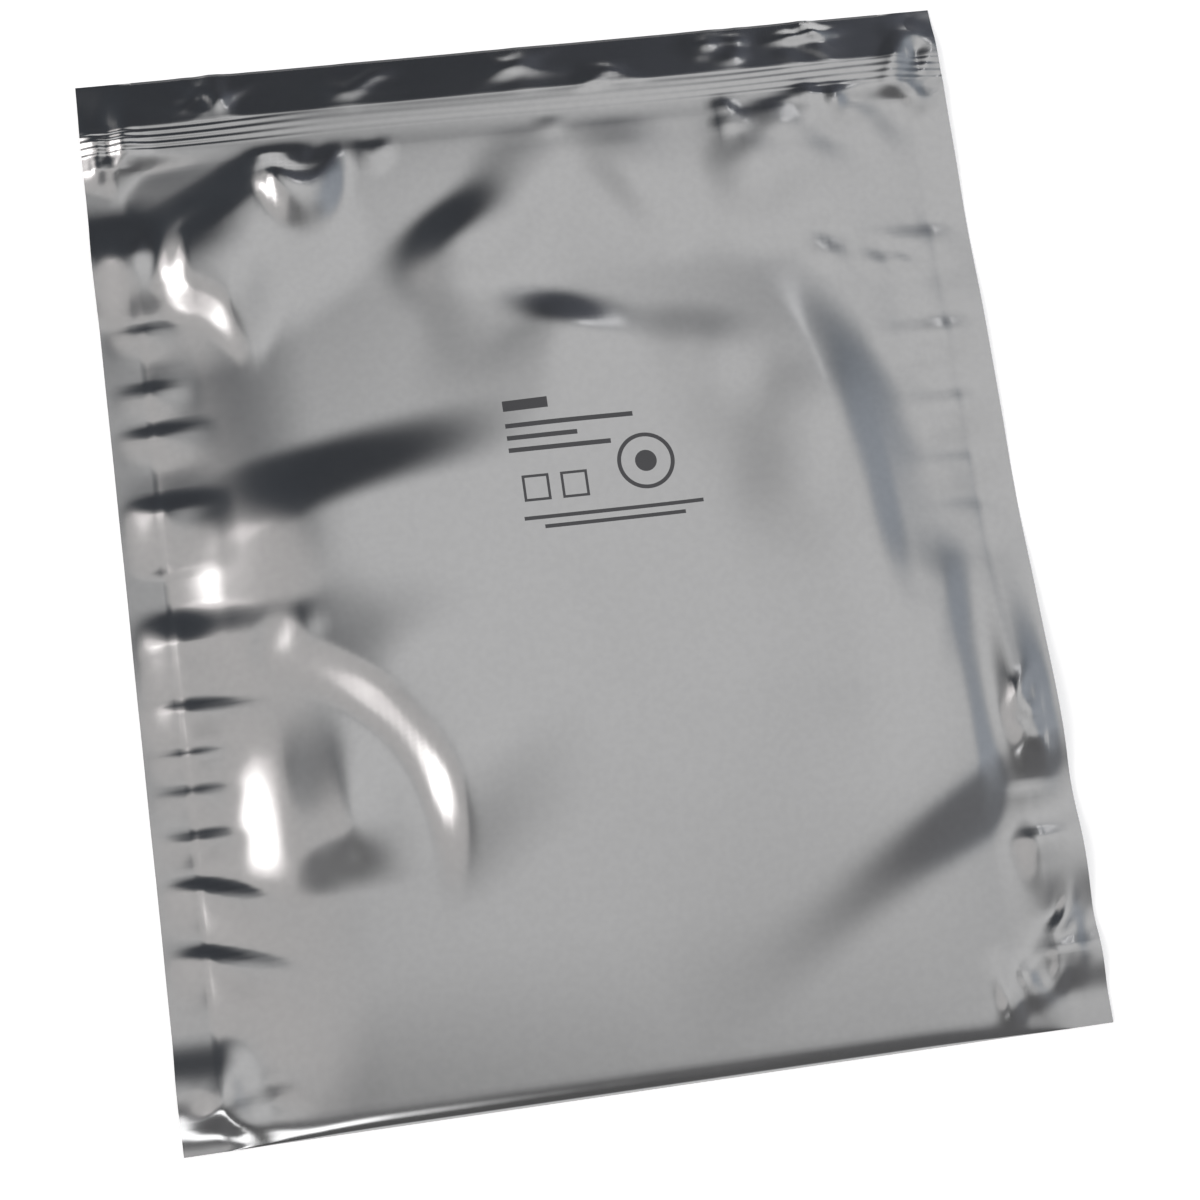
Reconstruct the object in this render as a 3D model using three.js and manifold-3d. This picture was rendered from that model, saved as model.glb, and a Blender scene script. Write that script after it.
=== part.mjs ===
// An anti static shielding bag with a zip, lying flat and empty with a little air left in its pouch.
// Millimetres. +X runs across the bag, +Y towards its mouth, +Z up from the surface that it lies on.
import * as THREE from "three";
import { mergeVertices } from "three/addons/utils/BufferGeometryUtils.js";
import Module from "manifold-3d";

const wasm = await Module();
wasm.setup();

// Driving sizes of the film bag.
const WIDTH = 278;
const LENGTH = 332;
const FILM = 0.08;
const SIDE_SEAL = 12;
const PILLOW = 5;
const PILLOW_SHOULDER = 50;
const BOTTOM_FOLD = 10;
const LIP = 16.5;
const LIP_STEP = 1;
const MOUTH_GAP = 0.35;
const MOUTH_LIFT = 0.2;

// How the panel's height is shared out towards its edges, and how far from them its folds fade.
const BOTTOM_CURL_SHARE = 0.35;
const TOP_SHARE = 0.5;
const EDGE_FADE = 26;
const EDGE_FADE_START = 2;
const BOTTOM_FADE = 8;
const ZIP_FADE = 8;
const ZIP_FREEDOM = 0.25;
const ZIP_FOOT = 3;
const PUCKER_SPREAD = 0.6;
const PUCKER_START = 2;
const PUCKER_RISE = 5;

// Waves of the side seals: their mean height, how far they reach inside the seal, and each wave.
const SEAL_LIFT = 0.4;
const SEAL_WAVE_REACH = 4;
const SEAL_WAVES = [
  { height: 0.35, spacing: 17, start: 0.6 },
  { height: 0.25, spacing: 7.3, start: 1.1 },
];

// Driving sizes of the zip.
const ZIP_WIDTH = 9;
const CHANNEL = 2.56;
const CHANNEL_END = 5;
const ZIP_LIFT = 2.2;
const ZIP_SLOPE = 56;
const RIB_HEIGHT = 0.11;
const RIB_PITCH = 2.25;
const RIB_FADE = 1;
const CLEARANCE = 0.2;
const FLANGE = 0.3;
const STEM = 0.5;
const HEAD = 1.1;
const HEAD_HEIGHT = 0.42;
const HOOK_WALL = 0.5;
const HOOK_HEIGHT = 1.1;
const HOOK_LIP = 0.3;

// How finely the film is faceted.
const PANEL_CELL = 9;
const LENGTH_CELL = 7.2;
const SEAL_CELLS = 3;
const CELLS_PER_RIB = 4;
const LIP_CELLS = 6;
const BOTTOM_ROWS = [0, 0.12, 0.4, 0.8];

// Share of the film's thickness that is left at the very edge of the welded mouth corners.
const MOUTH_EDGE_FILM = 0.9;

// Lines that other sizes are measured from: x from the left edge, y from the bottom fold.
const ZIP_TOP = LENGTH - LIP;
const ZIP_LINE = ZIP_TOP - ZIP_WIDTH;
const RIGHT = WIDTH;
const MIDDLE = WIDTH / 2;

// Soft step from 0 to 1.
function ease(share) {
  const t = Math.min(Math.max(share, 0), 1);
  return t * t * (3 - 2 * t);
}

// Rounded hump, 1 at the middle and 0 from a share of 1 outwards.
function hump(share) {
  return (1 + Math.cos(Math.PI * Math.min(Math.abs(share), 1))) / 2;
}

function quarterSine(share) {
  return Math.sin((Math.PI / 2) * Math.min(Math.max(share, 0), 1));
}

// A soft fold along a bowed line. The flank on the left of the line is the steep one.
const FOLDS = [
  {
    from: [-6, 180], to: [150, 200], bow: 9, height: 5.2,
    steep: 24, gentle: 80, rise: 0.15, fall: 0.5,
  },
  { from: [116, 250], to: [178, 232], bow: 3, height: 3, steep: 15, gentle: 44, rise: 0.45, fall: 0.5 },
  { from: [88, 256], to: [132, 290], bow: 2, height: 2.8, steep: 16, gentle: 34, rise: 0.5, fall: 0.5 },
  {
    from: [RIGHT - 84, 276], to: [RIGHT - 40, 122], bow: 12, height: 5.2,
    steep: 24, gentle: 60, rise: 0.4, fall: 0.45,
  },
  {
    from: [RIGHT + 8, 106], to: [RIGHT - 110, 40], bow: -2, height: 6,
    steep: 30, gentle: 80, rise: 0.2, fall: 0.5,
  },
  {
    from: [100, 58], to: [46, 148], bow: -16, height: 4.6,
    steep: 17, gentle: 60, rise: 0.35, fall: 0.3,
  },
  {
    from: [-8, ZIP_LINE - 24], to: [66, ZIP_LINE - 1], bow: -11, height: 3.6,
    steep: 17, gentle: 34, rise: 0.1, fall: 0.3,
  },
  {
    from: [56, ZIP_LINE - 1], to: [84, ZIP_LINE - 1], bow: -14, height: 1.9,
    steep: 8, gentle: 9, rise: 0.3, fall: 0.3,
  },
  {
    from: [151, ZIP_LINE + 5], to: [112, ZIP_LINE - 44], bow: 4, height: 1.6,
    steep: 14, gentle: 20, rise: 0.12, fall: 0.6,
  },
  {
    from: [184, ZIP_LINE - 44], to: [149, ZIP_LINE + 5], bow: -4, height: 1.6,
    steep: 14, gentle: 20, rise: 0.6, fall: 0.12,
  },
  { from: [46, 238], to: [10, 276], bow: -10, height: 3, steep: 13, gentle: 22, rise: 0.35, fall: 0.3 },
  { from: [-8, 30], to: [34, 2], bow: 2, height: 2.4, steep: 13, gentle: 14, rise: 0.1, fall: 0.15 },
  {
    from: [RIGHT - 34, 2], to: [RIGHT + 8, 30], bow: 2, height: 2.4,
    steep: 13, gentle: 14, rise: 0.15, fall: 0.1,
  },
];

// Air pockets: centre, half sizes along and across their own axis, turn in degrees and height.
const POCKETS = [
  { at: [38, 94], reach: [14, 26], turn: 10, height: 2.8 },
  { at: [60, 92], reach: [11, 24], turn: 12, height: 1.9 },
  { at: [66, 66], reach: [7, 13], turn: 20, height: 1.3 },
  { at: [20, 48], reach: [26, 16], turn: 0, height: 1.2 },
  { at: [RIGHT - 64, ZIP_LINE - 26], reach: [26, 20], turn: 20, height: 1.4 },
];

// Puckers where a side seal gathers the panel: distance from the bottom fold, then their own sizes.
const LEFT_PUCKERS = [
  { at: 217, height: 1.5, width: 4, reach: 26, lean: 0 },
  { at: 194, height: 1.2, width: 4, reach: 22, lean: 0 },
  { at: 170, height: 1.8, width: 5, reach: 44, lean: 0.12 },
  { at: 149, height: 3.2, width: 6, reach: 66, lean: 0.12 },
  { at: 129, height: 2.2, width: 5, reach: 28, lean: 0 },
  { at: 73, height: 2.2, width: 5, reach: 22, lean: -0.2 },
  { at: 53, height: 2, width: 5, reach: 22, lean: -0.2 },
];
const RIGHT_PUCKERS = [
  { at: 262, height: 1.1, width: 4, reach: 20, lean: 0 },
  { at: 243, height: 1.2, width: 4, reach: 22, lean: 0 },
  { at: 222, height: 1.1, width: 4, reach: 22, lean: 0 },
  { at: 203, height: 1.1, width: 4, reach: 20, lean: 0 },
  { at: 143, height: 1.8, width: 5, reach: 34, lean: -0.4 },
];

function foldLift(fold, x, y) {
  const [x0, y0] = fold.from;
  const dx = fold.to[0] - x0;
  const dy = fold.to[1] - y0;
  const length = Math.hypot(dx, dy);
  const along = ((x - x0) * dx + (y - y0) * dy) / (length * length);
  const straight = (dx * (y - y0) - dy * (x - x0)) / length;
  const aside = straight - 4 * fold.bow * along * (1 - along);
  const taper = ease(along / fold.rise) * ease((1 - along) / fold.fall);
  const flank = aside > 0 ? fold.steep : fold.gentle;
  return fold.height * taper * hump(aside / flank);
}

function pocketLift(pocket, x, y) {
  const turn = THREE.MathUtils.degToRad(pocket.turn);
  const dx = x - pocket.at[0];
  const dy = y - pocket.at[1];
  const u = (dx * Math.cos(turn) + dy * Math.sin(turn)) / pocket.reach[0];
  const v = (dy * Math.cos(turn) - dx * Math.sin(turn)) / pocket.reach[1];
  return pocket.height * hump(Math.hypot(u, v));
}

function puckerLift(pucker, inward, y) {
  const beside = y - pucker.at - pucker.lean * Math.max(inward, 0);
  const spread = pucker.width * (1 + PUCKER_SPREAD * Math.min(Math.max(inward / pucker.reach, 0), 1));
  const across = Math.exp(-((beside / spread) ** 2));
  const rise = ease((inward + PUCKER_START) / PUCKER_RISE);
  return pucker.height * across * rise * (1 - ease(inward / pucker.reach));
}

// Distance inside the nearer side seal, negative on the seal itself.
function insideSeals(x) {
  return Math.min(x - SIDE_SEAL, WIDTH - SIDE_SEAL - x);
}

// Height of the back film's lower face: flat in the middle, raised under the zip, wavy at the seals.
function backFace(x, y) {
  const upSlope = ease((y - ZIP_LINE + ZIP_SLOPE) / ZIP_SLOPE);
  const lipShare = Math.max(y - ZIP_TOP, 0) / LIP;
  const underZip = upSlope * (ZIP_LIFT + (MOUTH_LIFT - ZIP_LIFT) * lipShare);
  let wander = SEAL_LIFT;
  for (const wave of SEAL_WAVES) wander += wave.height * Math.sin(y / wave.spacing + wave.start);
  const atSeal = 1 - ease((insideSeals(x) + SIDE_SEAL) / (SIDE_SEAL + SEAL_WAVE_REACH));
  return underZip + Math.max(wander, 0) * atSeal;
}

// Air thickness between the two films of the pouch.
function pouch(x, y) {
  const inside = insideSeals(x);
  const across = quarterSine(inside / PILLOW_SHOULDER);
  const curl = 1 - Math.min(Math.max(y / BOTTOM_FOLD, 0), 1);
  const curled = BOTTOM_CURL_SHARE * Math.sqrt(1 - curl * curl);
  const bottom = curled + (1 - BOTTOM_CURL_SHARE) * quarterSine(y / PILLOW_SHOULDER);
  const top = TOP_SHARE + (1 - TOP_SHARE) * quarterSine((ZIP_LINE - y) / PILLOW_SHOULDER);
  const nearEdges = ease((inside + SIDE_SEAL + EDGE_FADE_START) / EDGE_FADE) * ease(y / BOTTOM_FADE);
  const loose = nearEdges * (ZIP_FREEDOM + (1 - ZIP_FREEDOM) * ease((ZIP_LINE - y) / ZIP_FADE));
  let lift = PILLOW * across * bottom * top;
  for (const fold of FOLDS) lift += foldLift(fold, x, y) * loose;
  for (const pocket of POCKETS) lift += pocketLift(pocket, x, y) * loose;
  for (const pucker of LEFT_PUCKERS) lift += puckerLift(pucker, x - SIDE_SEAL, y);
  for (const pucker of RIGHT_PUCKERS) lift += puckerLift(pucker, WIDTH - SIDE_SEAL - x, y);
  return lift;
}

// Space between the films in the zip band and between the two lips above it.
function channel(x, y) {
  const lipShare = Math.min(Math.max(y - ZIP_TOP, 0) / LIP, 1);
  const gap = CHANNEL - 2 * FILM;
  const openEnds = ease((insideSeals(x) + CHANNEL_END) / (2 * CHANNEL_END));
  return (gap + (MOUTH_GAP - gap) * lipShare) * openEnds;
}

// Height that the fine ribs of the zip reach, which fades out at both edges of the zip band.
function ribReach(y) {
  return RIB_HEIGHT * ease((y - ZIP_LINE) / RIB_FADE) * ease((ZIP_TOP - y) / RIB_FADE);
}

// Fine ribs that the zip strips press through the front film.
function ribs(y) {
  return ribReach(y) * Math.sin((2 * Math.PI * (y - ZIP_LINE)) / RIB_PITCH);
}

// Height of the front film's upper face.
function frontFace(x, y) {
  const zipShare = ease((y - ZIP_LINE + ZIP_FOOT) / ZIP_FOOT);
  const space = pouch(x, y) * (1 - zipShare) + channel(x, y) * zipShare;
  return backFace(x, y) + 2 * FILM + Math.max(space, 0) + ribs(y);
}

// Evenly spaced lines from low to high, both ends included.
function lines(low, high, cells) {
  return Array.from({ length: cells + 1 }, (_, i) => low + ((high - low) * i) / cells);
}

function joined(...runs) {
  return [...new Set(runs.flat().map((value) => Math.round(value * 1e4) / 1e4))].sort((a, b) => a - b);
}

// A closed box whose grid lines stand at the given columns and rows, with both faces shaped by functions.
function shapedBox(columns, rows, lower, upper) {
  const across = columns.length - 1;
  const along = rows.length - 1;
  const geometry = new THREE.BoxGeometry(across, along, 1, across, along, 1);
  const position = geometry.getAttribute("position");
  for (let i = 0; i < position.count; i += 1) {
    const x = columns[Math.round(position.getX(i) + across / 2)];
    const y = rows[Math.round(position.getY(i) + along / 2)];
    const z = position.getZ(i) > 0 ? upper(x, y) : lower(x, y);
    position.setXYZ(i, x - MIDDLE, y - LENGTH / 2, z);
  }
  return geometry;
}

function toSolid(geometry) {
  const bare = geometry.clone();
  bare.deleteAttribute("normal");
  bare.deleteAttribute("uv");
  const merged = mergeVertices(bare, 1e-5);
  const vertProperties = new Float32Array(merged.getAttribute("position").array);
  const triVerts = new Uint32Array(merged.getIndex().array);
  return new wasm.Manifold(new wasm.Mesh({ numProp: 3, vertProperties, triVerts }));
}

function toGeometry(solid) {
  const mesh = solid.getMesh();
  const geometry = new THREE.BufferGeometry();
  geometry.setAttribute("position", new THREE.BufferAttribute(mesh.vertProperties, mesh.numProp));
  geometry.setIndex(new THREE.BufferAttribute(mesh.triVerts, 1));
  const flat = geometry.toNonIndexed();
  flat.computeVertexNormals();
  return flat;
}

// The folded film, welded at both sides, with its two lips parted down to the foot of the zip.
function filmBag() {
  const slotLeft = SIDE_SEAL + CHANNEL_END;
  const slotRight = WIDTH - slotLeft;
  const panelCells = Math.max(Math.round((slotRight - slotLeft) / PANEL_CELL), 1);
  const slotColumns = lines(slotLeft, slotRight, panelCells);
  const leftSeal = lines(0, SIDE_SEAL, SEAL_CELLS);
  const rightSeal = lines(WIDTH - SIDE_SEAL, WIDTH, SEAL_CELLS);
  const columns = joined(leftSeal, slotColumns, rightSeal);
  const bottomRows = BOTTOM_ROWS.map((share) => share * BOTTOM_FOLD);
  const bodyTop = ZIP_LINE - ZIP_FOOT;
  const bodyCells = Math.max(Math.round((bodyTop - BOTTOM_FOLD) / LENGTH_CELL), 1);
  const ribCells = Math.round((CELLS_PER_RIB * ZIP_WIDTH) / RIB_PITCH);
  const lipRows = lines(ZIP_TOP, LENGTH - LIP_STEP, LIP_CELLS);
  const rows = joined(
    bottomRows,
    lines(BOTTOM_FOLD, bodyTop, bodyCells),
    lines(ZIP_LINE, ZIP_TOP, ribCells),
    lipRows,
    [LENGTH],
  );
  const atEdge = (y) => y > LENGTH - LIP_STEP / 2;
  const top = (x, y) => (atEdge(y) ? backFace(x, y) + MOUTH_EDGE_FILM * FILM : frontFace(x, y));
  const envelope = toSolid(shapedBox(columns, rows, backFace, top));

  const beyond = LENGTH + LIP_STEP;
  const ribRows = [ZIP_LINE, ZIP_LINE + RIB_FADE, ZIP_TOP - RIB_FADE];
  const slotRows = joined(ribRows, lipRows, [LENGTH, beyond]);
  const held = (y) => Math.min(y, LENGTH);
  const slotFloor = (x, y) => backFace(x, held(y)) + FILM;
  const slotRoof = (x, y) => slotFloor(x, y) + channel(x, held(y)) - ribReach(y);
  return toGeometry(envelope.subtract(toSolid(shapedBox(slotColumns, slotRows, slotFloor, slotRoof))));
}

// Heights in the channel, from the back film's lower face.
const GROOVE_FOOT = FILM + CLEARANCE;
const GROOVE_FLOOR = GROOVE_FOOT + FLANGE;
const HOOK_TOP = GROOVE_FLOOR + HOOK_HEIGHT;
const RIB_TOP = CHANNEL - FILM - RIB_HEIGHT - CLEARANCE;
const RIB_UNDER = RIB_TOP - FLANGE;
const HEAD_FOOT = GROOVE_FLOOR + CLEARANCE;
const HEAD_TOP = HEAD_FOOT + HEAD_HEIGHT;
const STRIP_WIDTH = ZIP_WIDTH - 2 * CLEARANCE;
const STRIP_LENGTH = WIDTH - 2 * (SIDE_SEAL + CHANNEL_END + CLEARANCE);

// Extrudes a section drawn across the zip, (along Y, up Z), to the strip's length along X.
function strip(points) {
  const section = new THREE.Shape(points.map(([y, z]) => new THREE.Vector2(y, z)));
  const geometry = new THREE.ExtrudeGeometry(section, { depth: STRIP_LENGTH, bevelEnabled: false });
  const alongX = new THREE.Matrix4().makeBasis(
    new THREE.Vector3(0, 1, 0),
    new THREE.Vector3(0, 0, 1),
    new THREE.Vector3(1, 0, 0),
  );
  geometry.applyMatrix4(alongX);
  geometry.translate(-STRIP_LENGTH / 2, 0, 0);
  return geometry;
}

// Flange with an arrow headed rib that hangs from it.
function ribStrip() {
  const half = STRIP_WIDTH / 2;
  const tip = HEAD / 4;
  return strip([
    [-half, RIB_TOP],
    [-half, RIB_UNDER],
    [-STEM / 2, RIB_UNDER],
    [-STEM / 2, HEAD_TOP],
    [-HEAD / 2, HEAD_TOP],
    [-tip, HEAD_FOOT],
    [tip, HEAD_FOOT],
    [HEAD / 2, HEAD_TOP],
    [STEM / 2, HEAD_TOP],
    [STEM / 2, RIB_UNDER],
    [half, RIB_UNDER],
    [half, RIB_TOP],
  ]);
}

// Flange with two hooks that close over the rib's head.
function grooveStrip() {
  const half = STRIP_WIDTH / 2;
  const inner = HEAD / 2 + CLEARANCE;
  const outer = inner + HOOK_WALL;
  const mouth = STEM / 2 + CLEARANCE;
  return strip([
    [-half, GROOVE_FOOT],
    [half, GROOVE_FOOT],
    [half, GROOVE_FLOOR],
    [outer, GROOVE_FLOOR],
    [outer, HOOK_TOP],
    [mouth, HOOK_TOP],
    [mouth, HOOK_TOP - HOOK_LIP],
    [inner, HOOK_TOP - HOOK_LIP],
    [inner, GROOVE_FLOOR],
    [-inner, GROOVE_FLOOR],
    [-inner, HOOK_TOP - HOOK_LIP],
    [-mouth, HOOK_TOP - HOOK_LIP],
    [-mouth, HOOK_TOP],
    [-outer, HOOK_TOP],
    [-outer, GROOVE_FLOOR],
    [-half, GROOVE_FLOOR],
  ]);
}

const film = new THREE.MeshStandardMaterial({ color: 0xa4a5a7, roughness: 0.2, metalness: 0.9 });
const plastic = new THREE.MeshStandardMaterial({ color: 0xd9dbdc, roughness: 0.45, metalness: 0 });

function named(name, geometry, material) {
  const mesh = new THREE.Mesh(geometry, material);
  mesh.name = name;
  return mesh;
}

// Both strips sit on the zip's centre line, at the height that the back film has there.
const zip = new THREE.Group();
zip.position.set(0, ZIP_LINE + ZIP_WIDTH / 2 - LENGTH / 2, ZIP_LIFT);
zip.add(named("zip_groove_strip", grooveStrip(), plastic));
zip.add(named("zip_rib_strip", ribStrip(), plastic));

const group = new THREE.Group();
group.add(named("film_bag", filmBag(), film));
group.add(zip);

export default group;
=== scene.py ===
"""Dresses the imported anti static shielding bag: its folded film, its zip and the table under it."""

from __future__ import annotations

import logging
import math
from dataclasses import dataclass
from enum import Enum

import bmesh
import bpy
import numpy as np
from mathutils import Matrix, Vector

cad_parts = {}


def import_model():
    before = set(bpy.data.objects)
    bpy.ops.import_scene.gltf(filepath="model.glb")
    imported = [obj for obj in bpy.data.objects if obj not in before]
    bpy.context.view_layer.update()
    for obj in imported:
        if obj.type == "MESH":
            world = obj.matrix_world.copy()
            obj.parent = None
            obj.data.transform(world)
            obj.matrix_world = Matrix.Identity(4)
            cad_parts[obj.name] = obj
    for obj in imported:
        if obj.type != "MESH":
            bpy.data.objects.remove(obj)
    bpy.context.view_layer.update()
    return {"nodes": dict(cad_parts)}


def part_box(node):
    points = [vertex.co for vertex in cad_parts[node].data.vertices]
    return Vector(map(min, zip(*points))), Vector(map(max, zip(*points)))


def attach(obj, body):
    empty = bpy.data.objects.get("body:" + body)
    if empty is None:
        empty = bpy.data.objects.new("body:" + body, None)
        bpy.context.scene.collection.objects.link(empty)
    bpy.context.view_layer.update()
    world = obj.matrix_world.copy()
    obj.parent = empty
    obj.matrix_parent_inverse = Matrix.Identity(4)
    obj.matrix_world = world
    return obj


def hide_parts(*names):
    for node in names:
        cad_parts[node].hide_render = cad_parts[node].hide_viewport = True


log = logging.getLogger("shielding_bag")

MM = 0.001
IMAGE_SIDE = 1200
Array = np.ndarray
Point = tuple[float, float]
Colour = tuple[float, float, float]


def ease(share: Array | float) -> Array:
    """Returns a soft step from 0 to 1 over a share of 0 to 1."""
    t = np.clip(share, 0, 1)
    return t * t * (3 - 2 * t)


def hump(share: Array | float) -> Array:
    """Returns a rounded hump: 1 at a share of 0, and 0 from 1 outwards."""
    return (1 + np.cos(np.pi * np.clip(np.abs(share), 0, 1))) / 2


def quarter_sine(share: Array | float) -> Array:
    """Returns the first quarter of a sine over a share of 0 to 1."""
    return np.sin(np.pi / 2 * np.clip(share, 0, 1))


class Edge(Enum):
    """The edges of the pouch that gather its front panel into puckers."""

    LEFT = "left"
    RIGHT = "right"
    ZIP = "zip"


@dataclass(frozen=True)
class Outline:
    """Sizes of the bag in millimetres, from its lower left corner.

    width and length come from the frame; the rest are the sizes of the film, the seals and the zip.
    """

    width: float
    length: float
    film: float = 0.08
    side_seal: float = 12.0
    pillow: float = 5.0
    pillow_shoulder: float = 50.0
    bottom_fold: float = 6.0
    lip: float = 16.5
    lip_step: float = 1.0
    mouth_gap: float = 0.35
    mouth_lift: float = 0.2
    zip_width: float = 9.0
    channel: float = 2.56
    channel_end: float = 5.0
    zip_lift: float = 2.2
    zip_slope: float = 56.0

    @property
    def zip_top(self) -> float:
        """The upper edge of the zip band."""
        return self.length - self.lip

    @property
    def zip_line(self) -> float:
        """The lower edge of the zip band."""
        return self.zip_top - self.zip_width

    def inside(self, x: Array) -> Array:
        """Returns the distance inside the nearer side seal, negative on the seal itself."""
        return np.minimum(x - self.side_seal, self.width - self.side_seal - x)


@dataclass(frozen=True)
class ZipRibs:
    """The fine ribs along the zip band, in millimetres.

    They are full at the left, sink to their least share from fade_from onwards and come back by
    back_share from back_from onwards. Their lines drift and stretch gently across the bag.
    """

    height: float = 0.11
    pitch: float = 2.25
    edge: float = 1.0
    least: float = 0.06
    fade_from: float = 30.0
    fade_reach: float = 50.0
    back_share: float = 0.3
    back_from: float = 170.0
    back_reach: float = 60.0
    drift: float = 0.4
    drift_reach: float = 22.0
    stretch: float = 0.05
    stretch_reach: float = 15.0

    def reach(self, outline: Outline, y: Array) -> Array:
        """Returns the ribs' height, which fades out at both edges of the zip band."""
        rising = ease((y - outline.zip_line) / self.edge)
        return self.height * rising * ease((outline.zip_top - y) / self.edge)

    def lift(self, outline: Outline, x: Array, y: Array) -> Array:
        """Returns how far the ribs lift the front film at each point, below zero in their grooves."""
        kept = self.least + (1 - self.least) * (1 - ease((x - self.fade_from) / self.fade_reach))
        back = self.back_share * ease((x - self.back_from) / self.back_reach)
        drifted = y - outline.zip_line + self.drift * np.sin(x / self.drift_reach)
        course = drifted * (1 + self.stretch * np.sin(x / self.stretch_reach))
        return self.reach(outline, y) * (kept + back) * np.sin(2 * np.pi * course / self.pitch)


@dataclass(frozen=True)
class Fold:
    """A soft fold along a bowed line, in millimetres.

    The flank on the left of the line is the steep one, and seal_share is how much the seal follows it.
    """

    start: Point
    end: Point
    bow: float
    height: float
    steep: float
    gentle: float
    rise: float = 0.3
    fall: float = 0.3
    seal_share: float = 0.3

    def lift(self, x: Array, y: Array) -> Array:
        """Returns how far the fold lifts the film at each point."""
        dx, dy = self.end[0] - self.start[0], self.end[1] - self.start[1]
        length = math.hypot(dx, dy)
        along = ((x - self.start[0]) * dx + (y - self.start[1]) * dy) / length**2
        straight = (dx * (y - self.start[1]) - dy * (x - self.start[0])) / length
        aside = straight - 4 * self.bow * along * (1 - along)
        taper = ease(along / self.rise) * ease((1 - along) / self.fall)
        return self.height * taper * hump(np.where(aside > 0, aside / self.steep, aside / self.gentle))


@dataclass(frozen=True)
class AirPocket:
    """A rounded pocket of air: its centre, its half sizes, its turn in degrees and its height."""

    centre: Point
    reach: Point
    turn: float
    height: float

    def lift(self, x: Array, y: Array) -> Array:
        """Returns how far the pocket lifts the film at each point."""
        turn = math.radians(self.turn)
        dx, dy = x - self.centre[0], y - self.centre[1]
        u = (dx * math.cos(turn) + dy * math.sin(turn)) / self.reach[0]
        v = (dy * math.cos(turn) - dx * math.sin(turn)) / self.reach[1]
        return self.height * hump(np.hypot(u, v))


@dataclass(frozen=True)
class Pucker:
    """A short gathered ridge that starts at an edge of the pouch.

    It is steep on its upper side, or on its lower side where its width is negative. The other side is
    gentle times as wide. It begins to rise at start outside the edge, over full times that distance.
    """

    edge: Edge
    at: float
    height: float
    width: float
    reach: float
    lean: float = 0.0
    gentle: float = 3.0
    start: float = 12.0
    full: float = 1.25

    def lift(self, outline: Outline, x: Array, y: Array) -> Array:
        """Returns how far the pucker lifts the film at each point.

        Args:
            outline: the bag's sizes, which place the edge.
            x: distances from the left edge.
            y: distances from the bottom fold.
        """
        if self.edge is Edge.LEFT:
            inward, beside = x - outline.side_seal, y - self.at
        elif self.edge is Edge.RIGHT:
            inward, beside = outline.width - outline.side_seal - x, y - self.at
        else:
            inward, beside = outline.zip_line - y, x - self.at
        beside = beside - self.lean * np.maximum(inward, 0)
        share = beside / self.width
        across = hump(np.where(share > 0, share, share / self.gentle))
        onset = ease((inward + self.start) / (self.full * self.start))
        return self.height * across * onset * (1 - ease(inward / self.reach))


@dataclass(frozen=True)
class Facet:
    """A buckled patch of film that leans one way.

    It has a centre, half sizes, a turn in degrees and its lean towards +X and +Y in degrees.
    """

    centre: Point
    reach: Point
    turn: float
    lean: Point

    def lift(self, x: Array, y: Array) -> Array:
        """Returns how far the patch lifts the film at each point."""
        turn = math.radians(self.turn)
        dx, dy = x - self.centre[0], y - self.centre[1]
        u = (dx * math.cos(turn) + dy * math.sin(turn)) / self.reach[0]
        v = (dy * math.cos(turn) - dx * math.sin(turn)) / self.reach[1]
        rise = dx * math.tan(math.radians(self.lean[0])) + dy * math.tan(math.radians(self.lean[1]))
        return -rise * hump(np.hypot(u, v))


@dataclass(frozen=True)
class Crumple:
    """A patch of sharp little creases: its centre, its reach, the creases' height, width and count.

    Each crease runs within spread of the shorter reach, and the weakest has the share faintest.
    """

    centre: Point
    reach: Point
    height: float
    width: float
    creases: int
    seed: int
    spread: float = 0.7
    faintest: float = 0.4

    def lift(self, x: Array, y: Array) -> Array:
        """Returns how far the creases lift the film at each point."""
        dice = np.random.default_rng(self.seed)
        dx, dy = x - self.centre[0], y - self.centre[1]
        total = np.zeros_like(x)
        for _ in range(self.creases):
            turn = dice.uniform(0, math.pi)
            offset = dice.uniform(-self.spread, self.spread) * min(self.reach)
            strength = dice.uniform(self.faintest, 1.0)
            away = np.abs(dx * math.cos(turn) + dy * math.sin(turn) - offset)
            total = total + strength * np.clip(1 - away / self.width, 0, 1)
        return self.height * total * hump(np.hypot(dx / self.reach[0], dy / self.reach[1]))


@dataclass(frozen=True)
class MarginWave:
    """A wave of a whole side seal, which lifts both films: its edge, place, height and half length."""

    edge: Edge
    at: float
    height: float
    half: float

    def lift(self, outline: Outline, x: Array, y: Array) -> Array:
        """Returns how far the wave lifts the seal at each point."""
        near = x < outline.width / 2 if self.edge is Edge.LEFT else x >= outline.width / 2
        return np.where(near, self.height * hump((y - self.at) / self.half), 0)


FACETS = (
    Facet((46, 147), (14, 10), 30, (-9, 0)),
    Facet((231, 254), (9, 11), 14, (4, 9)),
    Facet((257, 214), (10, 5), 0, (5, 12)),
    Facet((259, 190), (9, 5), 0, (5, 12)),
    Facet((261, 174), (7, 4), 0, (5, 11)),
    Facet((256, 247), (8, 6), -20, (5, 11)),
    Facet((247, 248), (9, 8), -20, (2, 8)),
    Facet((262, 264), (4, 9), 0, (5, 10)),
    Facet((259, 292), (15, 18), 0, (3, 6)),
    Facet((67, 300), (4, 8), 0, (-18, -4)),
)


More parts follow.
